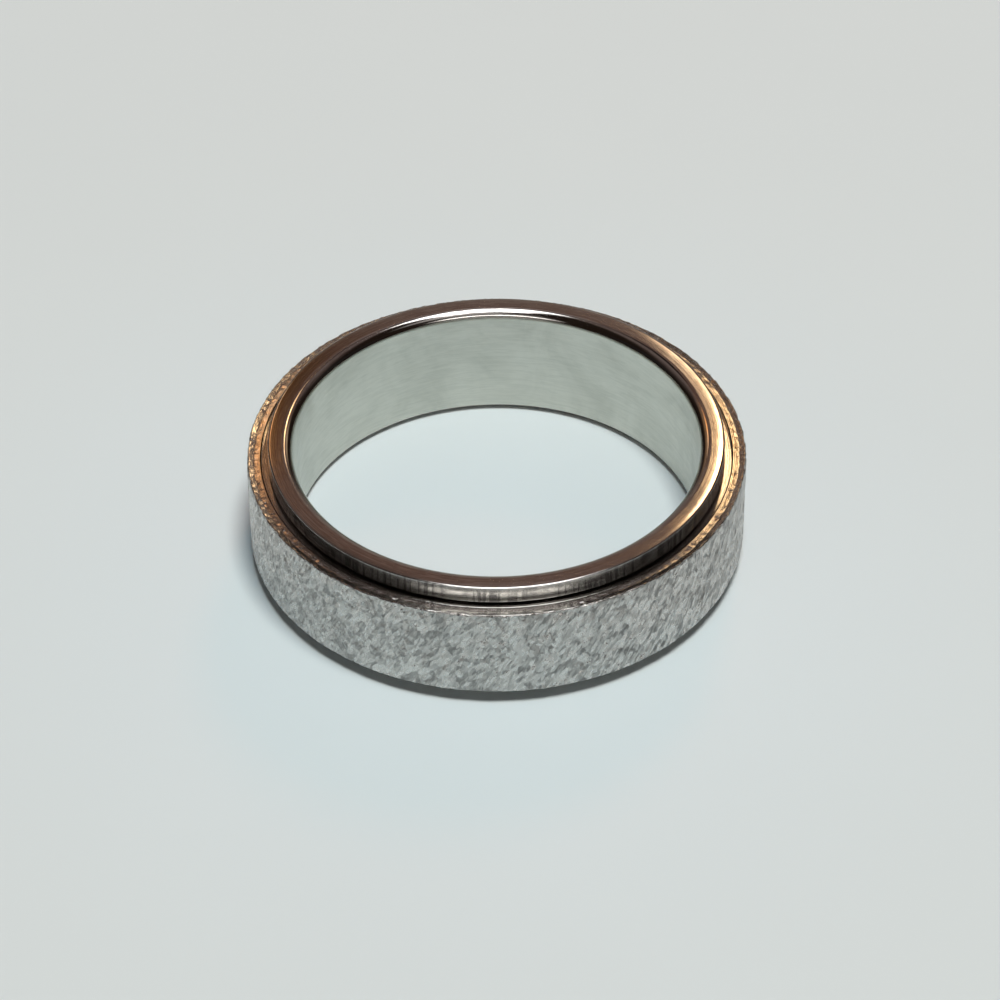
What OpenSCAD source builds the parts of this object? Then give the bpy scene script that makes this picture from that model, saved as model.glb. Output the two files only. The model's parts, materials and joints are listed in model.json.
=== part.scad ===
// Spinner ring, lying on its side: a base band with a rim at each edge, and a free outer band
// that turns in the channel between the rims. The ring's axis is Z, and the lower rim rests on z = 0.

/* [Base band] */
// Bore across, the finger size
bore_d = 18.9; // [14:0.1:23]
// Width of the ring along the finger
ring_w = 6; // [5:0.1:12]
// Thickness of the wall under the channel
channel_wall = 0.78; // [0.66:0.01:1.4]
// Height of a rim above the channel floor
rim_height = 0.37; // [0.3:0.01:0.8]
// Thickness of a rim along the axis
rim_w = 0.85; // [0.8:0.05:1.2]

/* [Rim shape] */
// Radius of the rounding where a rim meets the bore
bore_edge_r = 0.42; // [0.3:0.01:0.44]
// Radius of the dome on the bore side of a rim's flat
inner_dome_r = 0.54; // [0.54:0.02:1.2]
// Radius of the dome on the outer side of a rim's flat
outer_dome_r = 8; // [4:0.5:12]
// Distance from the bore wall to the start of a rim's flat
flat_inset = 0.51; // [0.46:0.01:0.53]
// Width of the flat that the ring rests on
flat_w = 0.25; // [0.2:0.01:0.3]
// Radius of the rounding where a rim meets the channel
rim_lip_r = 0.1; // [0.05:0.01:0.15]

/* [Spinner band] */
// Thickness of the spinner, from its bore to its textured outside
spinner_wall = 1.3; // [1:0.01:2.4]
// How far each rim stands past the spinner, with the spinner centred
rim_show = 0.71; // [0.5:0.005:0.82]
// Radius of the spinner's outer corners
spinner_corner_r = 0.15; // [0.05:0.01:0.25]
// Radius of the inner corners of the spinner's edge faces
shoulder_corner_r = 0.05; // [0.02:0.01:0.1]

/* [Clearances] */
// Radial running clearance between the channel floor and the spinner
run_gap = 0.08; // [0.04:0.01:0.1]
// Play of the spinner along the axis, to each side of the centre
side_play = 0.07; // [0.05:0.01:0.15]
// Clearance left under the spinner where it has settled towards the lower rim
seat_gap = 0.03; // [0.02:0.01:0.05]
// Radial gap between a rim's outside and the spinner's edge face
shoulder_gap = 0.32; // [0.15:0.01:0.4]

/* [Hidden] */
$fn = 360;
cut_over = 0.5;
half_w = ring_w / 2;

bore_r = bore_d / 2;
channel_r = bore_r + channel_wall;
rim_r = channel_r + rim_height;

// Where the rim's flat starts and ends, and the two dome centres below it
flat_in_r = bore_r + flat_inset;
flat_out_r = flat_in_r + flat_w;
inner_dome_z = half_w - inner_dome_r;
outer_dome_z = half_w - outer_dome_r;

// The bore edge's rounding touches the bore wall and the inner dome
edge_c_r = bore_r + bore_edge_r;
edge_reach = inner_dome_r - bore_edge_r;
edge_side = flat_in_r - edge_c_r;
edge_c_z = inner_dome_z + sqrt(edge_reach * edge_reach - edge_side * edge_side);
touch_r = flat_in_r - edge_side * inner_dome_r / edge_reach;

// The spinner runs on the channel floor and hides behind the rims
spinner_bore_r = channel_r + run_gap;
spinner_r = spinner_bore_r + spinner_wall;
shoulder_r = rim_r + shoulder_gap;
spinner_w = ring_w - 2 * rim_show;
tongue_w = ring_w - 2 * rim_w - 2 * side_play;
spinner_drop = side_play - seat_gap;

// Area between two heights and two radii, in the section's plane
module band_area(r0, r1, z0, z1) {
    translate([r0, z0]) square([r1 - r0, z1 - z0]);
}

// What is taken off between two radii, above a circle
module above_circle(r0, r1, c, radius) {
    difference() {
        band_area(r0, r1, c[1], half_w + cut_over);
        translate(c) circle(r = radius);
    }
}

// Upper half of the base band's section, from its middle plane
module base_half() {
    difference() {
        band_area(bore_r, rim_r, 0, half_w);
        band_area(channel_r, rim_r + cut_over, -cut_over, half_w - rim_w);
        above_circle(bore_r - cut_over, touch_r, [edge_c_r, edge_c_z], bore_edge_r);
        above_circle(bore_r - cut_over, flat_in_r, [flat_in_r, inner_dome_z], inner_dome_r);
        above_circle(flat_out_r, rim_r + cut_over, [flat_out_r, outer_dome_z], outer_dome_r);
        rim_lip_cut();
    }
}

// Rounding of the rim's corner towards the channel
module rim_lip_cut() {
    lip = [rim_r - rim_lip_r, half_w - rim_w + rim_lip_r];
    difference() {
        band_area(lip[0], rim_r + cut_over, lip[1] - rim_lip_r - cut_over, lip[1]);
        translate(lip) circle(r = rim_lip_r);
    }
}

// Rectangle whose inner and outer corners are rounded by their own radii
module edge_faces(r0, r1, w, inner, outer) {
    band_area(r0, r1 - outer, -w / 2 + inner, w / 2 - inner);
    band_area(r0 + inner, r1 - outer, -w / 2, w / 2);
    band_area(r0 + inner, r1, -w / 2 + outer, w / 2 - outer);
    for (side = [-1, 1]) {
        translate([r0 + inner, side * (w / 2 - inner)]) circle(r = inner);
        translate([r1 - outer, side * (w / 2 - outer)]) circle(r = outer);
    }
}

// Section of the spinner: a tongue that runs between the rims, and the wider outside
module spinner_section() {
    band_area(spinner_bore_r, shoulder_r + shoulder_corner_r, -tongue_w / 2, tongue_w / 2);
    edge_faces(shoulder_r, spinner_r, spinner_w, shoulder_corner_r, spinner_corner_r);
}

module base_band() {
    color([0.74, 0.73, 0.71])
        translate([0, 0, half_w])
            rotate_extrude() {
                base_half();
                mirror([0, 1]) base_half();
            }
}

module spinner_band() {
    color([0.60, 0.61, 0.60])
        translate([0, 0, half_w - spinner_drop])
            rotate_extrude() spinner_section();
}

base_band();
spinner_band();
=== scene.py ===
"""A steel spinner ring, lying on its side on a pale surface.

Lengths are in millimetres until a mesh is made, where MM turns them into metres.
"""

from __future__ import annotations

import json
import logging
import math
from dataclasses import dataclass, field
from enum import Enum
from typing import Any, Iterable

import bpy
import numpy as np
from mathutils import Matrix, Vector

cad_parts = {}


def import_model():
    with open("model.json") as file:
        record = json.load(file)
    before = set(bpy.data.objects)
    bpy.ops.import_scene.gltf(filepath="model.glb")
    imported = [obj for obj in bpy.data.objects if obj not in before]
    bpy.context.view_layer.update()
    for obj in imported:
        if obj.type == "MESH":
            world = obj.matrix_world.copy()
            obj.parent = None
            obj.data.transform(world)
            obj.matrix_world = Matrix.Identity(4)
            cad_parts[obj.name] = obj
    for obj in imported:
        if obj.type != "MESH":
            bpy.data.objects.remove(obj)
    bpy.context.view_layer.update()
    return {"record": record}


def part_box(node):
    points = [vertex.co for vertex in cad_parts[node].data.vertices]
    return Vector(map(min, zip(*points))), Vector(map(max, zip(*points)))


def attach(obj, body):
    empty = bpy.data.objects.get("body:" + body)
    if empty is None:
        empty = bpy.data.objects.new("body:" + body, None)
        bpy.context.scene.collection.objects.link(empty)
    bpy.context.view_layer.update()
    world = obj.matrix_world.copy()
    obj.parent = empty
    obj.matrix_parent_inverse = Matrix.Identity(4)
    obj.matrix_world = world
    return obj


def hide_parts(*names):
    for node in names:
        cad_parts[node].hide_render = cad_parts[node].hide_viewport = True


MM = 0.001
# Corners of a section that lie closer than this, in millimetres, are one corner
NEAR = 1e-5
# The part's gaps under the spinner and between a rim and the spinner's edge face, in millimetres
RUN_GAP = 0.08
SHOULDER_GAP = 0.32
# Width of the photograph's frame, in pixels
FRAME = 1000
LOG = logging.getLogger("spinner_ring")

Point = tuple[float, float]
Triple = tuple[float, float, float]
Colour = Triple


def unit(azimuth: float, elevation: float) -> Vector:
    """Direction of a compass bearing from the ring.

    Args:
        azimuth: Degrees from +Y towards +X.
        elevation: Degrees above the floor.

    Returns:
        A unit vector.
    """
    a, e = math.radians(azimuth), math.radians(elevation)
    return Vector((math.sin(a) * math.cos(e), math.cos(a) * math.cos(e), math.sin(e)))


class Tree:
    """A node tree that is written as expressions."""

    def __init__(self, nodes: bpy.types.NodeTree) -> None:
        """Wraps a tree and empties it.

        Args:
            nodes: The tree of a material, a world or a modifier.
        """
        self.nodes = nodes
        nodes.nodes.clear()

    def add(self, kind: str, settings: dict[str, Any] | None = None, **values: Any) -> "Made":
        """Adds one node.

        Args:
            kind: Blender's type name of the node.
            settings: Properties that are set before the sockets are.
            **values: Sockets by name, with underscores for spaces, or by place as s0, s1 and so on.

        Returns:
            The node, ready to hand out its outputs.
        """
        node = self.nodes.nodes.new(kind)
        for key, value in (settings or {}).items():
            setattr(node, key, value)
        for key, value in values.items():
            self.put(self._socket(node, key), value)
        return Made(self, node)

    @staticmethod
    def _socket(node: bpy.types.Node, key: str) -> bpy.types.NodeSocket:
        """Finds an input that can be used.

        Args:
            node: The node to look on.
            key: The socket's name with underscores, or its place as s0, s1 and so on.

        Returns:
            The input socket.
        """
        if key[0] == "s" and key[1:].isdigit():
            return node.inputs[int(key[1:])]
        name = key.replace("_", " ")
        return next(s for s in node.inputs if s.enabled and s.name == name)

    def put(self, socket: bpy.types.NodeSocket, value: Any) -> None:
        """Links a socket or sets its value.

        Args:
            socket: The input.
            value: A wrapped output, a number, a colour, a vector or an object.
        """
        if isinstance(value, Out):
            self.nodes.links.new(value.socket, socket)
        elif isinstance(value, (tuple, list, Vector)) and len(value) == 3 and socket.type == "RGBA":
            socket.default_value = (*value, 1.0)
        else:
            socket.default_value = value

    def number(self, operation: str, *values: Any) -> "Num":
        """Adds a Math node.

        Args:
            operation: Blender's name of the operation.
            *values: Its inputs in order.

        Returns:
            The result.
        """
        places = {f"s{i}": v for i, v in enumerate(values)}
        return self.add("ShaderNodeMath", {"operation": operation}, **places).num()

    def vector(self, operation: str, *values: Any) -> "Vec":
        """Adds a Vector Math node whose result is a vector.

        Args:
            operation: Blender's name of the operation.
            *values: Its inputs in order.

        Returns:
            The result.
        """
        places = {f"s{i}": v for i, v in enumerate(values)}
        return self.add("ShaderNodeVectorMath", {"operation": operation}, **places).vec()

    def dot(self, a: Any, b: Any) -> "Num":
        """Dot product of two vectors.

        Args:
            a: The first vector.
            b: The second vector.

        Returns:
            The product.
        """
        return self.add("ShaderNodeVectorMath", {"operation": "DOT_PRODUCT"}, s0=a, s1=b).num("Value")

    def combine(self, x: Any = 0.0, y: Any = 0.0, z: Any = 0.0) -> "Vec":
        """Vector from three numbers.

        Args:
            x: Its first part.
            y: Its second part.
            z: Its third part.

        Returns:
            The vector.
        """
        return self.add("ShaderNodeCombineXYZ", X=x, Y=y, Z=z).vec()

    def mix(self, factor: Any, a: Any, b: Any) -> "Vec":
        """Mixes two colours.

        Args:
            factor: 0 for the first colour, 1 for the second.
            a: The first colour.
            b: The second colour.

        Returns:
            The mixed colour.
        """
        node = self.nodes.nodes.new("ShaderNodeMix")
        node.data_type = "RGBA"
        for socket, value in zip((node.inputs[0], node.inputs[6], node.inputs[7]), (factor, a, b)):
            self.put(socket, value)
        return Vec(self, node.outputs[2])

    def step(self, value: Any, low: float, high: float) -> "Num":
        """Smooth step from 0 to 1.

        Args:
            value: What is tested.
            low: Where the step starts.
            high: Where it ends, which may lie below the start.

        Returns:
            A number between 0 and 1.
        """
        flip = low > high
        ends = {"From_Min": high if flip else low, "From_Max": low if flip else high}
        node = self.add("ShaderNodeMapRange", {"interpolation_type": "SMOOTHSTEP"}, Value=value, **ends)
        return 1.0 - node.num("Result") if flip else node.num("Result")

    def noise(
        self, vector: Any, scale: float, detail: float = 2.0, rough: float = 0.5, warp: float = 0.0
    ) -> "Num":
        """Fractal noise between 0 and 1.

        Args:
            vector: Where it is read.
            scale: Its scale.
            detail: How many octaves it has.
            rough: How strong the finer octaves are.
            warp: How far it is distorted.

        Returns:
            The noise.
        """
        given = {"Vector": vector, "Scale": scale, "Detail": detail, "Roughness": rough, "Distortion": warp}
        return self.add("ShaderNodeTexNoise", **given).num(0)


class Made:
    """A node that has just been added."""

    def __init__(self, tree: Tree, node: bpy.types.Node) -> None:
        """Keeps the node.

        Args:
            tree: The tree it is in.
            node: The node.
        """
        self.tree, self.node = tree, node

    def num(self, out: int | str = 0) -> "Num":
        """One output as a number."""
        return Num(self.tree, self.node.outputs[out])

    def vec(self, out: int | str = 0) -> "Vec":
        """One output as a vector, a colour or anything else that isn't a number."""
        return Vec(self.tree, self.node.outputs[out])


class Out:
    """An output of a node, which expressions are written with."""

    def __init__(self, tree: Tree, socket: bpy.types.NodeSocket) -> None:
        """Wraps an output.

        Args:
            tree: The tree it is in.
            socket: The output socket.
        """
        self.tree, self.socket = tree, socket


class Num(Out):
    """A number in a node tree."""

    def __add__(self, other: Any) -> "Num":
        """Sum."""
        return self.tree.number("ADD", self, other)

    def __radd__(self, other: Any) -> "Num":
        """Sum, reflected."""
        return self.tree.number("ADD", other, self)

    def __sub__(self, other: Any) -> "Num":
        """Difference."""
        return self.tree.number("SUBTRACT", self, other)

    def __rsub__(self, other: Any) -> "Num":
        """Difference, reflected."""
        return self.tree.number("SUBTRACT", other, self)

    def __mul__(self, other: Any) -> "Num":
        """Product."""
        return self.tree.number("MULTIPLY", self, other)

    def __rmul__(self, other: Any) -> "Num":
        """Product, reflected."""
        return self.tree.number("MULTIPLY", other, self)

    def __pow__(self, other: Any) -> "Num":
        """Power."""
        return self.tree.number("POWER", self, other)

    def __or__(self, other: Any) -> "Num":
        """The larger of two numbers."""
        return self.tree.number("MAXIMUM", self, other)


class Vec(Out):
    """A vector or a colour in a node tree."""

    def __add__(self, other: Any) -> "Vec":
        """Sum, part by part."""
        return self.tree.vector("ADD", self, other)

    def __sub__(self, other: Any) -> "Vec":
        """Difference, part by part."""
        return self.tree.vector("SUBTRACT", self, other)

    def __mul__(self, other: Any) -> "Vec":
        """Product with another vector, part by part, or with a number."""
        if isinstance(other, (Num, int, float)):
            node = self.tree.add("ShaderNodeVectorMath", {"operation": "SCALE"}, s0=self, s3=other)
            return node.vec()
        return self.tree.vector("MULTIPLY", self, other)

    def parts(self) -> tuple[Num, Num, Num]:
        """Its three numbers."""
        node = self.tree.add("ShaderNodeSeparateXYZ", Vector=self)
        return node.num(0), node.num(1), node.num(2)

    def length(self) -> Num:
        """Its length."""
        return self.tree.add("ShaderNodeVectorMath", {"operation": "LENGTH"}, s0=self).num("Value")


@dataclass(frozen=True)
class Facets:
    """Random flat cuts whose cells lie along slanting lines round the band.

    Attributes:
        cell: Width of a cell, in millimetres.
        stretch: How much longer than wide a cell is.
        slant: How far a cell leans round the band for each millimetre along the axis.
        seed: Shift of the pattern, in cells.
        tilt: How strongly a cut leans.
        step: How much the cuts differ in depth.
    """

    cell: float
    stretch: float
    slant: float
    seed: float
    tilt: float = 1.0
    step: float = 0.6

    def cut(self, tree: Tree, place: Vec, radius: float) -> tuple[Num, Num]:
        """Height of the cut surface at a point, and the level of the cell that it is in.

        Args:
            tree: The tree that the nodes go into, of a shader or of geometry.
            place: The point, in metres, with the band's axis at Z.
            radius: The band's outer radius, in millimetres.

        Returns:
            A height and a level, each of about -1 to 1.
        """
        _, _, z = place.parts()
        angle = z * (self.slant / (radius * MM))
        turn = tree.add("ShaderNodeVectorRotate", {"rotation_type": "Z_AXIS"}, Vector=place, Angle=angle)
        size = self.cell * MM
        shift = (self.seed, self.seed * 1.7, self.seed * 0.6)
        cells = turn.vec() * (1 / size, 1 / size, 1 / (size * self.stretch)) + shift
        found = tree.add("ShaderNodeTexVoronoi", {"feature": "F1"}, Vector=cells, Scale=1.0, Randomness=1.0)
        away = cells - found.vec("Position")
        chance = found.vec("Color") * 2.0 - (1.0, 1.0, 1.0)
        level, _, _ = chance.parts()
        return tree.dot(away, chance) * self.tilt + level * self.step, level


class Slot(Enum):
    """Material slots of the part's record."""

    POLISHED = "polished_steel"
    FROSTED = "frosted_steel"


@dataclass(frozen=True)
class Steel:
    """Bare stainless steel.

    Attributes:
        colour: What the bare metal reflects straight on.
        gloss: Roughness of the polished faces.
        wander: Distance over which the wheel's lines wander, as a multiple of their spacing.
    """

    colour: Colour = (0.67, 0.655, 0.63)
    gloss: float = 0.10
    wander: float = 26.0

    def start(self, name: str) -> tuple[bpy.types.Material, Tree, Vec]:
        """Makes an empty material.

        Args:
            name: The material's name.

        Returns:
            The material, its tree and the point that is shaded.
        """
        material = bpy.data.materials.new(name)
        material.use_nodes = True
        tree = Tree(material.node_tree)
        return material, tree, tree.add("ShaderNodeTexCoord").vec("Object")

    def turned_lines(self, tree: Tree, place: Vec, fine: float) -> Num:
        """Fine lines that a polishing wheel leaves round the axis.

        Args:
            tree: The material's tree.
            place: The shaded point.
            fine: Spacing of the lines, in millimetres.

        Returns:
            A height between 0 and 1.
        """
        x, y, z = place.parts()
        around = tree.combine(x, y) * (1.0 / (fine * self.wander * MM))
        radius = tree.combine(x, y).length()
        lines = tree.combine(radius * (1.0 / (fine * MM)), z * (1.0 / (fine * MM)))
        warped = tree.noise(around, scale=1.0, detail=1.0)
        shift = tree.combine(warped * 2.2, warped * 1.4, warped * 3.0)
        return tree.noise(lines + shift, scale=1.0, detail=2.0, rough=0.6)

    def finish(self, tree: Tree, colour: Any, rough: Any, normal: Any) -> None:
        """Adds the metal's shader and the output.

        Args:
            tree: The material's tree.
            colour: Base colour.
            rough: Roughness.
            normal: Normal from a Bump node.
        """
        kind = "ShaderNodeBsdfPrincipled"
        shader = tree.add(kind, Base_Color=colour, Metallic=1.0, Roughness=rough, Normal=normal)
        tree.add("ShaderNodeOutputMaterial", Surface=shader.vec())


@dataclass(frozen=True)
class PolishedSteel(Steel):
    """Polished rims with a satin bore between them.

    Attributes:
        bore_rough: Roughness of the satin bore.
        satin_from: Radius up to which the bore is satin, in millimetres.
        satin_to: Radius from which the rim is polished, in millimetres.
        wall_from: Radius from which a rim's outer wall is marked, in millimetres.
        nick_gap: Spacing of the marks, in millimetres.
        worn_colour: What the metal reflects where it is worn.
        nick_colour: What it reflects along the marks of the rims' outer walls.
        bore_colour: What the bore reflects.
        dull_colour: What it reflects where it is dull.
    """

    bore_rough: float = 0.36
    satin_from: float = 9.47
    satin_to: float = 9.50
    wall_from: float = 10.578
    nick_gap: float = 0.36
    worn_colour: Colour = (0.43, 0.37, 0.355)
    nick_colour: Colour = (0.34, 0.33, 0.32)
    bore_colour: Colour = (0.62, 0.62, 0.56)
    dull_colour: Colour = (0.46, 0.47, 0.42)

    def make(self) -> bpy.types.Material:
        """Builds the material.

        Returns:
            The material.
        """
        material, tree, place = self.start("polished_steel_dressed")
        x, y, _ = place.parts()
        radius = tree.combine(x, y).length() * (1 / MM)
        satin = tree.step(radius, self.satin_to, self.satin_from)
        polish = 1.0 - satin
        blotch = tree.noise(place, scale=900.0, detail=3.0, rough=0.6, warp=0.4)
        smudge = tree.noise(place, scale=260.0, detail=4.0, rough=0.62, warp=0.8)
        lines = self.turned_lines(tree, place, fine=0.045)
        around = place * (700.0, 700.0, 6500.0)
        streaks = tree.noise(around, scale=1.0, detail=3.0, rough=0.6, warp=1.0)
        wall = tree.step(radius, self.wall_from - 0.01, self.wall_from)
        rough_rim = self.gloss + (blotch - 0.5) * 0.10 + (lines - 0.5) * 0.08 + wall * 0.10
        rough_bore = self.bore_rough + (smudge - 0.5) * 0.26 + (streaks - 0.5) * 0.12
        worn = tree.step(lines * 0.65 + blotch * 0.35, 0.40, 0.60) * 0.65 * (1.0 - wall) * polish
        dull = tree.step(smudge, 0.35, 0.75) * 0.6 + tree.step(streaks, 0.35, 0.70) * 0.35
        nicks = self.nicks(tree, place, wall)
        rim_colour = tree.mix(nicks, tree.mix(worn, self.colour, self.worn_colour), self.nick_colour)
        colour = tree.mix(satin, rim_colour, tree.mix(dull, self.bore_colour, self.dull_colour))
        height = (lines * 0.35 + blotch * 1.2) * polish + (streaks * 0.9 + smudge * 2.0) * satin
        bump = tree.add("ShaderNodeBump", Strength=0.5, Distance=0.000004, Height=height)
        self.finish(tree, colour, rough_rim * polish + rough_bore * satin, bump.vec())
        return material

    def nicks(self, tree: Tree, place: Vec, wall: Num) -> Num:
        """Upright marks that break the shine of the rims' outer walls.

        Args:
            tree: The material's tree.
            place: The shaded point.
            wall: 1 on the rims' outer walls, 0 elsewhere.

        Returns:
            How strong a mark is, between 0 and 1.
        """
        around = place * (1.0 / (self.nick_gap * MM), 1.0 / (self.nick_gap * MM), 0.0)
        gap = tree.add("ShaderNodeTexVoronoi", {"feature": "DISTANCE_TO_EDGE"}, Vector=around, Scale=1.0)
        some = tree.step(tree.noise(place, scale=420.0, detail=1.0), 0.36, 0.50)
        return tree.step(gap.num("Distance"), 0.13, 0.03) * wall * some * 0.9


@dataclass(frozen=True)
class FrostedSteel(Steel):
    """Frosted outside with plain polished edge faces.

    Attributes:
        outer_radius: Radius of the band's outside, in millimetres.
        frost_rough: Roughness of the cuts.
        edge_gloss: Roughness of the edge faces.
        relief: Depth of the fine cuts, in millimetres.
        pale: Colour of the palest facets, a painted highlight for facets that stand in for mirroring the
            bright floor, as a multiple of the bare metal.
        dark: Colour of the darkest facets, painted shade for facets that stand in for mirroring the dark
            room, as a multiple of it.
        layers: The cuts that lean one way, those that lean the other way, the fine cuts and the grain.
    """

    outer_radius: float = 11.61
    frost_rough: float = 0.30
    edge_gloss: float = 0.15
    relief: float = 0.068
    pale: float = 1.03
    dark: float = 0.36
    layers: tuple[Facets, ...] = (
        Facets(0.23, 1.7, -0.50, 3.1, step=0.12),
        Facets(0.21, 1.35, 0.35, 11.7, step=0.12),
        Facets(0.11, 2.4, -0.45, 27.3, step=0.15),
        Facets(0.05, 1.5, -0.20, 51.9, step=0.2),
    )

    def make(self) -> bpy.types.Material:
        """Builds the material.

        Returns:
            The material.
        """
        material, tree, place = self.start("frosted_steel_dressed")
        frost = tree.add("ShaderNodeAttribute", {"attribute_name": "frost"}).num("Fac")
        (right, r_tone), (left, l_tone), (fine, f_tone), (grain, g_tone) = (
            layer.cut(tree, place, self.outer_radius) for layer in self.layers
        )
        share = tree.step(tree.noise(place, scale=650.0, detail=1.0), 0.50, 0.64)
        patch = tree.noise(place, scale=1000.0, detail=2.0) - 0.5
        coarse = right * (1.0 - share) + left * share
        tone = (r_tone * (1.0 - share) + l_tone * share) * 0.65
        tone = tone + f_tone * 0.55 + g_tone * 0.15 + patch * 1.6
        cuts = coarse + fine * 0.45 + grain * 0.14
        lines = self.turned_lines(tree, place, fine=0.05)
        plain = 1.0 - frost
        rough = (self.edge_gloss + (lines - 0.5) * 0.08) * plain + (self.frost_rough - tone * 0.06) * frost
        # Painted highlight and painted shade: the cells' random tone and the soft patches make the frosted
        # facets paler or darker, as if they mirrored the bright floor or the dark room. Crest and bottom
        # here are these painted colours, not the tops and hollows of the cuts. On the plain edge faces the
        # turned lines only darken the colour a little.
        painted_facet_shade = tree.step(tone, 0.8, -1.1) * 0.90 * frost + lines * plain * 0.30
        crest, bottom = (tuple(c * level for c in self.colour) for level in (self.pale, self.dark))
        colour = tree.mix(painted_facet_shade, crest, bottom)
        height = cuts * frost + lines * plain * 0.055
        bump = tree.add("ShaderNodeBump", Strength=1.0, Distance=self.relief * MM, Height=height)
        self.finish(tree, colour, rough, bump.vec())
        return material


@dataclass
class Section:
    """Closed section of a turned piece: radius and height of each point, and how frosted it is there."""

    points: list[Point] = field(default_factory=list)
    frost: list[float] = field(default_factory=list)

    def to(self, r: float, z: float, frost: float = 0.0) -> "Section":
        """Adds a corner.

        Args:
            r: Radius in millimetres.
            z: Height in millimetres.
            frost: How frosted the surface is there.

        Returns:
            The section itself.
        """
        if not self.points or math.dist(self.points[-1], (r, z)) > NEAR:
            self.points.append((r, z))
            self.frost.append(frost)
        return self

    def line(
        self, r: float, z: float, pieces: int = 1, hold: float = 0.012, frost: float = 0.0
    ) -> "Section":
        """Adds a straight stretch with a narrow strip at each end, which keeps the flat's shading flat.

        Args:
            r: Radius at its end, in millimetres.
            z: Height at its end, in millimetres.
            pieces: How many parts it is cut into between the strips.
            hold: Width of the strips, in millimetres.
            frost: How frosted the stretch is.

        Returns:
            The section itself.
        """
        start = np.array(self.points[-1])
        way = np.array((r, z)) - start
        length = float(np.hypot(*way))
        if length > 4 * hold:
            edge = hold / length
            for share in np.linspace(edge, 1 - edge, pieces + 1):
                self.to(*(start + way * share), frost)
        return self.to(r, z, frost)

    def arc(
        self,
        r: float,
        z: float,
        radius: float,
        start: float,
        end: float,
        pieces: int,
        frost: Point = (0.0, 0.0),
    ) -> "Section":
        """Adds an arc.

        Args:
            r: Radius of its centre from the axis, in millimetres.
            z: Height of its centre, in millimetres.
            radius: Its own radius, in millimetres.
            start: Angle at its start, in degrees from outwards.
            end: Angle at its end.
            pieces: How many parts it has.
            frost: How frosted it is at its start and its end.

        Returns:
            The section itself.
        """
        for i in range(pieces + 1):
            share = i / pieces
            a = math.radians(start + (end - start) * share)
            ease = share * share * (3 - 2 * share)
            level = frost[0] + (frost[1] - frost[0]) * ease
            self.to(r + radius * math.cos(a), z + radius * math.sin(a), level)
        return self

    def mirrored(self, middle: float) -> "Section":
        """Adds the mirror image of what is there, so that an upper half becomes the whole section.

        Args:
            middle: Height of the mirror plane, in millimetres.

        Returns:
            The section itself.
        """
        for (r, z), frost in list(zip(self.points, self.frost))[::-1]:
            self.to(r, 2 * middle - z, frost)
        if math.dist(self.points[0], self.points[-1]) < NEAR:
            self.points.pop()
            self.frost.pop()
        return self

    def turned(self, name: str, steps: int) -> bpy.types.Object:
        """Turns the section round the Z axis.

        Args:
            name: Name of the piece.
            steps: How many steps the turn has.

        Returns:
            The piece, smooth, with how frosted it is kept in an attribute.
        """
        ring = np.array(self.points) * MM
        count = len(ring)
        angle = np.arange(steps) * (2 * math.pi / steps)
        co = np.empty((steps, count, 3))
        co[..., 0] = np.cos(angle)[:, None] * ring[None, :, 0]
        co[..., 1] = np.sin(angle)[:, None] * ring[None, :, 0]
        co[..., 2] = ring[None, :, 1]
        here, there = np.meshgrid(np.arange(steps), np.arange(count), indexing="ij")
        beyond, after = (here + 1) % steps, (there + 1) % count
        near, far = here * count, beyond * count
        quads = np.stack([near + there, far + there, far + after, near + after], -1)
        after_r, after_z = np.roll(ring, -1, axis=0).T
        area = float(np.sum(ring[:, 0] * after_z - after_r * ring[:, 1]))
        if area < 0:
            quads = quads[..., ::-1]
        mesh = bpy.data.meshes.new(name)
        mesh.from_pydata(co.reshape(-1, 3).tolist(), [], quads.reshape(-1, 4).tolist())
        mesh.polygons.foreach_set("use_smooth", np.ones(steps * count, bool))
        kept = mesh.attributes.new("frost", "FLOAT", "POINT")
        kept.data.foreach_set("value", np.tile(np.array(self.frost, np.float32), steps))
        mesh.update()
        thing = bpy.data.objects.new(name, mesh)
        bpy.context.scene.collection.objects.link(thing)
        return thing


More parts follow.
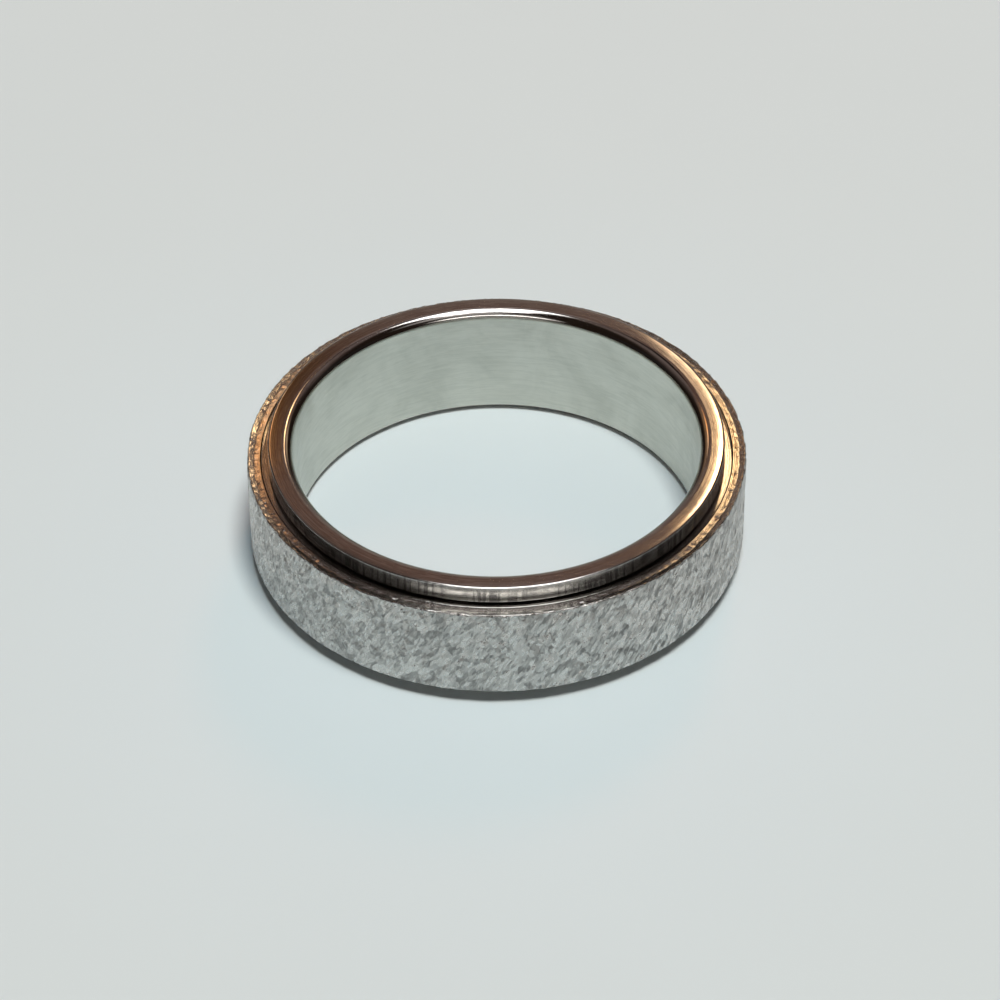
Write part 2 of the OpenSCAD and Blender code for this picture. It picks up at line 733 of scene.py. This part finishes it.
@dataclass
class BaseBand:
    """The inner band: two polished rims, a satin bore and the channel between the rims.

    Attributes:
        bore_radius: Radius of the bore.
        rim_radius: Radius of the rims.
        width: Width along the axis.
        channel_wall: Thickness of the wall under the channel.
        rim_width: Thickness of a rim along the axis.
        bore_edge: Radius of the rounding where a rim meets the bore.
        inner_dome: Radius of the dome on the bore side of a rim's flat.
        flat_inset: Distance from the bore wall to a rim's flat.
        flat_width: Width of the flat.
        outer_dome: Radius of the dome on the outer side of the flat.
        lip: Radius of the rounding where a rim meets the channel.
        crease: Radius of the small rounding at a rim's outer corner.
        lean: How far a rim's outer wall leans in at its corner.
        satin_edge: How far past the bore wall the satin starts to fade, and where it is gone.
        steps: Steps of the turn.
    """

    bore_radius: float
    rim_radius: float
    width: float
    channel_wall: float = 0.78
    rim_width: float = 0.85
    bore_edge: float = 0.42
    inner_dome: float = 0.54
    flat_inset: float = 0.51
    flat_width: float = 0.25
    outer_dome: float = 8.0
    lip: float = 0.1
    crease: float = 0.03
    lean: float = 0.02
    satin_edge: Point = (0.02, 0.05)
    steps: int = 720

    def section(self) -> Section:
        """Section of the whole band.

        Returns:
            The closed section.
        """
        middle, top = self.width / 2, self.width
        flat_in = self.bore_radius + self.flat_inset
        flat_out = flat_in + self.flat_width
        reach, side = self.inner_dome - self.bore_edge, self.flat_inset - self.bore_edge
        edge_z = top - self.inner_dome + math.sqrt(reach**2 - side**2)
        touch = 90 + math.degrees(math.asin(side / reach))
        corner = self.rim_radius - self.lean
        crease_z = top - self.outer_dome + math.sqrt(self.outer_dome**2 - (corner - flat_out) ** 2)
        slope = math.degrees(math.asin((corner - self.crease - flat_out) / self.outer_dome))
        channel_top = top - self.rim_width
        s = Section()
        s.to(self.bore_radius, middle).line(self.bore_radius, edge_z, 6)
        s.arc(self.bore_radius + self.bore_edge, edge_z, self.bore_edge, 180, touch, 14)
        s.arc(flat_in, top - self.inner_dome, self.inner_dome, touch, 90, 14)
        s.line(flat_out, top, 2)
        s.arc(flat_out, top - self.outer_dome, self.outer_dome, 90, 90 - slope, 5)
        s.arc(corner - self.crease, crease_z - self.crease, self.crease, 90 - slope, 10, 5)
        s.line(self.rim_radius, channel_top + self.lip, 3)
        s.arc(self.rim_radius - self.lip, channel_top + self.lip, self.lip, 0, -90, 5)
        s.line(self.bore_radius + self.channel_wall, channel_top)
        s.line(self.bore_radius + self.channel_wall, middle, 2)
        return s.mirrored(middle)

    def build(self) -> bpy.types.Object:
        """Makes the band, dresses it and puts it in the CAD node's place.

        Returns:
            The piece.
        """
        piece = self.section().turned("base_band_dressed", self.steps)
        fade, gone = (self.bore_radius + past for past in self.satin_edge)
        finish = PolishedSteel(satin_from=fade, satin_to=gone)
        piece.data.materials.append(finish.make())
        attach(piece, "base")
        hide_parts("base_band")
        return piece


@dataclass
class SpinnerBand:
    """The loose outer band, whose outside is covered with short random cuts.

    Attributes:
        bore_radius: Radius of its bore.
        outer_radius: Radius of its outside.
        shoulder_radius: Radius where the wide outer part starts.
        bottom: Height of its lower edge face.
        top: Height of its upper edge face.
        tongue: Width of the part that runs between the rims.
        corner: Radius of its outer corners.
        shoulder_corner: Radius of the inner corners of its edge faces.
        face_lean: How far an edge face leans outwards at its inner edge and at the burr, in degrees.
        burr: Width and height of the burr that the cuts have raised along the outer corner.
        burr_frost: How frosted the surface is at the burr's foot, on the burr and where the corner starts.
        steps: Steps of the turn.
        rows: Rows of the frosted outside.
        cut_depth: Depth of the cuts that the mesh has.
        chip_depth: Depth of the chips along the corners.
        layers: The cuts that lean one way, those that lean the other way, and the chips.
    """

    bore_radius: float
    outer_radius: float
    shoulder_radius: float
    bottom: float
    top: float
    tongue: float = 4.16
    corner: float = 0.09
    shoulder_corner: float = 0.02
    face_lean: Point = (2.5, 4.5)
    burr: Point = (0.24, 0.050)
    burr_frost: Triple = (0.06, 0.07, 0.16)
    steps: int = 920
    rows: int = 48
    cut_depth: float = 0.060
    chip_depth: float = 0.10
    layers: tuple[Facets, ...] = (
        Facets(0.30, 1.9, -0.50, 5.3),
        Facets(0.28, 1.6, 0.40, 17.9),
        Facets(0.34, 1.0, 0.20, 41.0),
    )

    def section(self) -> Section:
        """Section of the whole band.

        Returns:
            The closed section.
        """
        middle = (self.bottom + self.top) / 2
        c, k = self.corner, self.shoulder_corner
        s = Section()
        s.to(self.bore_radius, middle).line(self.bore_radius, middle + self.tongue / 2)
        s.line(self.shoulder_radius, middle + self.tongue / 2)
        run, rise = self.burr
        valley_r, valley_z = self.outer_radius - c - run, self.top - rise
        inner, outer = (math.radians(lean) for lean in self.face_lean)
        dome = (valley_r - self.shoulder_radius - k) / (math.sin(outer) - math.sin(inner))
        middle_r, middle_z = valley_r - dome * math.sin(outer), valley_z - dome * math.cos(outer)
        inner_z = middle_z + dome * math.cos(inner)
        foot, crest, turn = self.burr_frost
        s.line(self.shoulder_radius, inner_z - k)
        s.arc(self.shoulder_radius + k, inner_z - k, k, 180, 90 - self.face_lean[0], 3)
        s.arc(middle_r, middle_z, dome, 90 - self.face_lean[0], 90 - self.face_lean[1], 6, (0.0, foot))
        s.line(self.outer_radius - c, self.top, 3, frost=crest)
        edge_z = self.top - c
        s.arc(self.outer_radius - c, edge_z, c, 90, 0, 6, (turn, 1.0))
        side = np.linspace(edge_z, middle, self.rows // 2 + 1)
        for z in side[1:]:
            s.to(self.outer_radius, float(z), 1.0)
        return s.mirrored(middle)

    def cut(self, piece: bpy.types.Object, material: bpy.types.Material) -> None:
        """Cuts the outside with a Geometry Nodes tree and keeps the result as a plain mesh.

        Args:
            piece: The smooth band.
            material: What the band is made of.
        """
        group = bpy.data.node_groups.new("frosted_cuts", "GeometryNodeTree")
        face = group.interface
        face.new_socket("Geometry", in_out="INPUT", socket_type="NodeSocketGeometry")
        for name in ("Cut Depth", "Chip Depth"):
            face.new_socket(name, in_out="INPUT", socket_type="NodeSocketFloat")
        face.new_socket("Material", in_out="INPUT", socket_type="NodeSocketMaterial")
        face.new_socket("Geometry", in_out="OUTPUT", socket_type="NodeSocketGeometry")
        tree = Tree(group)
        given = tree.add("NodeGroupInput")
        place = tree.add("GeometryNodeInputPosition").vec()
        kept = tree.add("GeometryNodeInputNamedAttribute", {"data_type": "FLOAT"}, Name="frost")
        frost = kept.num("Attribute")
        right, left, chipped = (layer.cut(tree, place, self.outer_radius)[0] for layer in self.layers)
        share = tree.step(tree.noise(place, scale=520.0, detail=1.0), 0.42, 0.60)
        cuts = (right * (1.0 - share) + left * share) * 0.5 + 0.30
        chips = chipped * 0.6 + 0.15
        # 1 halfway round a corner, 0 on the outside. The upper chips reach 0.55 mm down the outside, and
        # the lower corner's are a quarter as deep
        corner = frost * (1.0 - frost) * 4.0
        _, _, z = place.parts()
        height = z * (1 / MM)
        near = tree.step(height, self.top - 0.55, self.top - 0.05)
        above = tree.step(height, self.bottom + 0.3, self.bottom + 0.8) * 0.75 + 0.25
        chipping = (corner | near * frost) * above
        down = given.num("Cut Depth") * (cuts | 0.0) * frost
        down = down + given.num("Chip Depth") * (chips | 0.0) * chipping
        normal = tree.add("GeometryNodeInputNormal").vec()
        offset = normal * (down * -1.0)
        moved = tree.add("GeometryNodeSetPosition", Geometry=given.vec("Geometry"), Offset=offset)
        real = tree.add("GeometryNodeRealizeInstances", Geometry=moved.vec())
        dressed = tree.add("GeometryNodeSetMaterial", Geometry=real.vec(), Material=given.vec("Material"))
        tree.add("NodeGroupOutput", Geometry=dressed.vec())
        modifier = piece.modifiers.new("cuts", "NODES")
        modifier.node_group = group
        ids = {item.name: item.identifier for item in face.items_tree if item.in_out == "INPUT"}
        modifier[ids["Cut Depth"]] = self.cut_depth * MM
        modifier[ids["Chip Depth"]] = self.chip_depth * MM
        modifier[ids["Material"]] = material
        bpy.context.view_layer.update()
        graph = bpy.context.evaluated_depsgraph_get()
        solved = piece.evaluated_get(graph)
        mesh = bpy.data.meshes.new_from_object(solved, preserve_all_data_layers=True, depsgraph=graph)
        piece.modifiers.remove(modifier)
        piece.data = mesh

    def build(self) -> bpy.types.Object:
        """Makes the band, dresses it and puts it in the CAD node's place.

        Returns:
            The piece.
        """
        material = FrostedSteel(outer_radius=self.outer_radius).make()
        piece = self.section().turned("spinner_band_dressed", self.steps)
        piece.data.materials.append(material)
        self.cut(piece, material)
        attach(piece, "spinner")
        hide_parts("spinner_band")
        return piece


@dataclass(frozen=True)
class Glow:
    """A soft-edged patch of the room that the polished steel mirrors.

    Attributes:
        azimuth: Bearing of its middle, in degrees from +Y towards +X.
        elevation: Height of its middle, in degrees.
        wide: Half its width, in degrees.
        high: Half its height, in degrees.
        colour: Its colour, in linear light.
        strength: How bright it is.
        soft: Share of its size over which it fades.
        turn: How far its top leans to the left, in degrees.
        square: Whether it is a rectangle and not an ellipse.
    """

    azimuth: float
    elevation: float
    wide: float
    high: float
    colour: Colour
    strength: float = 1.0
    soft: float = 0.5
    turn: float = 0.0
    square: bool = False

    def cover(self, tree: Tree, way: Vec) -> Num:
        """How much of the patch covers a direction.

        Args:
            tree: The room's node tree.
            way: The direction.

        Returns:
            A number between 0 and 1.
        """
        ahead = unit(self.azimuth, self.elevation)
        right = Vector((ahead.y, -ahead.x, 0)).normalized()
        above = right.cross(ahead)
        lean = math.radians(self.turn)
        side = right * math.cos(lean) + above * math.sin(lean)
        top = above * math.cos(lean) - right * math.sin(lean)
        across = tree.dot(way, side) * (1 / math.sin(math.radians(self.wide)))
        along = tree.dot(way, top) * (1 / math.sin(math.radians(self.high)))
        if self.square:
            reach = tree.number("ABSOLUTE", across) | tree.number("ABSOLUTE", along)
        else:
            reach = (across * across + along * along) ** 0.5
        return tree.step(reach, 1.0, 1.0 - self.soft) * tree.step(tree.dot(way, ahead), 0.0, 0.05)


@dataclass(frozen=True)
class Room:
    """What stands round the table, seen only as a reflection, with the floor and the light.

    Attributes:
        radius: Distance of the room's walls, in millimetres.
        shade: Colour of the room where no patch covers it.
        glows: The patches, the later ones over the earlier ones.
        floor_size: Side of the floor, in metres.
        floor_colour: Colour of the floor.
        mottle: Darkest and palest part of the floor, as multiples of its colour.
        sky: Brightness of the even light.
    """

    radius: float = 130.0
    shade: Colour = (0.016, 0.010, 0.007)
    # Each row: azimuth, elevation, half width, half height, colour, and strength where it isn't 1
    glows: tuple[Glow, ...] = (
        Glow(0, 60, 70, 26, (0.135, 0.102, 0.092), soft=0.6),
        Glow(-93, 24, 34, 16, (0.016, 0.014, 0.013), soft=0.6),
        Glow(93, 24, 34, 16, (0.016, 0.014, 0.013), soft=0.6),
        Glow(0, 40, 40, 18, (0.155, 0.098, 0.078), soft=0.6),
        Glow(0, 3, 36, 14, (0.30, 0.25, 0.215), soft=0.9),
        Glow(0, 18, 22, 26, (0.24, 0.20, 0.175), soft=0.8),
        Glow(-17, 52, 8.5, 6.2, (0.014, 0.012, 0.011), soft=0.4),
        Glow(14, 53, 4.5, 4.5, (0.050, 0.045, 0.042), soft=0.6),
        Glow(1, 60, 6, 16, (0.31, 0.26, 0.24), soft=0.7),
        Glow(-26, 30, 15, 14, (0.26, 0.150, 0.080), soft=0.8),
        Glow(-11, 38, 6.5, 4.5, (0.080, 0.038, 0.016), soft=0.8),
        Glow(-12, 41, 3, 1.8, (0.24, 0.105, 0.032), soft=0.8),
        Glow(-18.3, 38, 4.5, 4.8, (2.4, 1.10, 0.38), soft=0.6),
        Glow(-16.5, 35.5, 2.2, 2.4, (3.2, 2.2, 1.4), soft=0.6),
        Glow(27, 28, 9, 10, (0.42, 0.30, 0.20), soft=0.8),
        Glow(180, 28, 36, 46, (0.23, 0.215, 0.205), soft=0.5),
        Glow(180, 34.5, 34, 6, (3.6, 3.56, 3.43), soft=0.5, square=True),
        Glow(16, 40, 5.4, 6.5, (0.55, 0.21, 0.050), soft=0.6),
        Glow(15.2, 40.4, 3.8, 5.6, (1.50, 0.70, 0.18), soft=0.5),
        Glow(10.3, 37.2, 2.5, 2.9, (2.6, 1.8, 1.1), soft=0.5, turn=-30),
        Glow(13.6, 41.9, 2.15, 5.4, (1.0, 0.68, 0.36), 9.0, soft=0.5),
        Glow(150, 62, 26, 12, (0.52, 0.50, 0.48), soft=0.6),
        Glow(90, 87, 19, 13, (1.0, 1.0, 1.0), 4.0, soft=0.15, square=True),
    )
    floor_size: float = 4.0
    floor_colour: Colour = (0.76, 0.79, 0.785)
    mottle: Point = (0.985, 1.015)
    sky: float = 0.10

    def walls(self) -> bpy.types.Object:
        """Makes the room's shell, which the camera and the floor's light pass through.

        Returns:
            The shell.
        """
        bpy.ops.mesh.primitive_uv_sphere_add(segments=96, ring_count=48, radius=self.radius * MM)
        shell = bpy.context.object
        shell.name = "room_shell"
        material = bpy.data.materials.new("room")
        material.use_nodes = True
        tree = Tree(material.node_tree)
        way = tree.vector("NORMALIZE", tree.add("ShaderNodeTexCoord").vec("Object"))
        colour: Any = self.shade
        for glow in self.glows:
            colour = tree.mix(glow.cover(tree, way), colour, tuple(c * glow.strength for c in glow.colour))
        light = tree.add("ShaderNodeEmission", Color=colour, Strength=1.0)
        tree.add("ShaderNodeOutputMaterial", Surface=light.vec())
        shell.data.materials.append(material)
        for ray in ("camera", "diffuse", "shadow", "transmission", "volume_scatter"):
            setattr(shell, f"visible_{ray}", False)
        return shell

    def floor(self) -> bpy.types.Object:
        """Makes the pale floor.

        Returns:
            The floor.
        """
        bpy.ops.mesh.primitive_plane_add(size=self.floor_size, location=(0, 0, 0))
        plane = bpy.context.object
        plane.name = "floor"
        material = bpy.data.materials.new("pale_floor")
        material.use_nodes = True
        tree = Tree(material.node_tree)
        place = tree.add("ShaderNodeTexCoord").vec("Object")
        cloud = tree.noise(place, scale=45.0, detail=4.0, rough=0.6)
        darker, paler = (tuple(c * level for c in self.floor_colour) for level in self.mottle)
        colour = tree.mix(cloud, darker, paler)
        kind = "ShaderNodeBsdfPrincipled"
        shader = tree.add(kind, Base_Color=colour, Roughness=0.75, Specular_IOR_Level=0.1)
        tree.add("ShaderNodeOutputMaterial", Surface=shader.vec())
        plane.data.materials.append(material)
        return plane

    def light(self) -> None:
        """Adds the even light, the broad and the small warm lamp, and two faint pools of light."""
        world = bpy.data.worlds.new("even_light")
        bpy.context.scene.world = world
        world.use_nodes = True
        tree = Tree(world.node_tree)
        back = tree.add("ShaderNodeBackground", Color=(0.95, 1.0, 1.02), Strength=self.sky)
        tree.add("ShaderNodeOutputWorld", Surface=back.vec())
        self.lamp("overhead", (0.10, -0.16, 0.98), size=0.30, energy=7.6, colour=(0.95, 1.005, 0.995))
        self.lamp("warm_lamp", (0.10, 0.40, 0.27), size=0.12, energy=0.24, colour=(1.0, 0.22, 0.02))
        self.pool("front_pool", spread=4.4, energy=1.25, colour=(0.02, 0.55, 1.0))
        self.pool("hole_pool", spread=2.3, energy=0.42, colour=(0.85, 0.97, 1.0))

    @staticmethod
    def pool(name: str, spread: float, energy: float, colour: Colour) -> None:
        """Adds a faint round pool of light on the floor at the ring, which isn't mirrored in it.

        Args:
            name: Its name.
            spread: Its angle, in degrees.
            energy: Its power, in watts.
            colour: Its colour.
        """
        lamp = bpy.data.lights.new(name, "SPOT")
        lamp.energy, lamp.color, lamp.shadow_soft_size = energy, colour, 0.02
        lamp.spot_size, lamp.spot_blend = math.radians(spread), 1.0
        thing = bpy.data.objects.new(name, lamp)
        bpy.context.scene.collection.objects.link(thing)
        thing.location = (-0.001, -0.003, 0.5)
        thing.visible_glossy = False

    @staticmethod
    def lamp(name: str, place: Triple, size: float, energy: float, colour: Colour) -> None:
        """Adds a round lamp that points at the ring and isn't mirrored in it.

        Args:
            name: Its name.
            place: Where it hangs, in metres.
            size: Its diameter, in metres.
            energy: Its power, in watts.
            colour: Its colour.
        """
        lamp = bpy.data.lights.new(name, "AREA")
        lamp.shape, lamp.size, lamp.energy, lamp.color = "DISK", size, energy, colour
        thing = bpy.data.objects.new(name, lamp)
        bpy.context.scene.collection.objects.link(thing)
        thing.location = place
        thing.rotation_euler = (-thing.location).to_track_quat("-Z", "Y").to_euler()
        thing.visible_glossy = False

    def build(self) -> None:
        """Makes the floor, the walls and the light."""
        self.floor()
        self.walls()
        self.light()


@dataclass(frozen=True)
class Viewpoint:
    """The camera, fitted to the photograph.

    Attributes:
        place: Where it stands, in millimetres.
        pitch: How far it looks down, in degrees.
        roll: How far it is turned about its own axis, in degrees.
        focal: Focal length, in pixels of the photograph's frame.
        sensor: Width of the camera's sensor, in millimetres.
    """

    place: Triple = (0.143, -137.543, 118.817)
    pitch: float = 40.3035
    roll: float = -0.4805
    focal: float = 3838.5
    sensor: float = 36.0

    def build(self) -> bpy.types.Object:
        """Makes the camera and hands the scene to it.

        Returns:
            The camera.
        """
        p, t = math.radians(self.pitch), math.radians(self.roll)
        ahead = Vector((0, math.cos(p), -math.sin(p)))
        above = Vector((0, math.sin(p), math.cos(p)))
        right = Vector((1, 0, 0))
        across = right * math.cos(t) + above * math.sin(t)
        upwards = above * math.cos(t) - right * math.sin(t)
        data = bpy.data.cameras.new("camera")
        data.sensor_width = self.sensor
        data.lens = self.focal * self.sensor / FRAME
        data.clip_start, data.clip_end = 0.01, 10.0
        camera = bpy.data.objects.new("camera", data)
        bpy.context.scene.collection.objects.link(camera)
        turn = Matrix((across, upwards, -ahead)).transposed().to_4x4()
        camera.matrix_world = Matrix.Translation(Vector(self.place) * MM) @ turn
        bpy.context.scene.camera = camera
        return camera


def main() -> None:
    """Builds the ring, its surroundings and the camera."""
    logging.basicConfig(level=logging.INFO, format="%(name)s: %(message)s")
    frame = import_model()
    bpy.context.scene.view_settings.view_transform = "Standard"
    bore = next(m for m in frame["record"]["mounts"] if m["name"] == "finger_bore")
    low, high = (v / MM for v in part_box("base_band"))
    base = BaseBand(bore_radius=bore["dims"]["r_mm"], rim_radius=high.x, width=high.z - low.z)
    piece = base.build()
    LOG.info("base band: %d faces", len(piece.data.polygons))
    low, high = (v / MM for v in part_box("spinner_band"))
    channel = base.bore_radius + base.channel_wall
    spinner = SpinnerBand(
        bore_radius=channel + RUN_GAP,
        outer_radius=high.x,
        shoulder_radius=base.rim_radius + SHOULDER_GAP,
        bottom=low.z,
        top=high.z,
    )
    piece = spinner.build()
    LOG.info("spinner band: %d faces", len(piece.data.polygons))
    Room().build()
    LOG.info("floor, room and light")
    Viewpoint().build()
    LOG.info("camera")


if __name__ == "__main__":
    main()
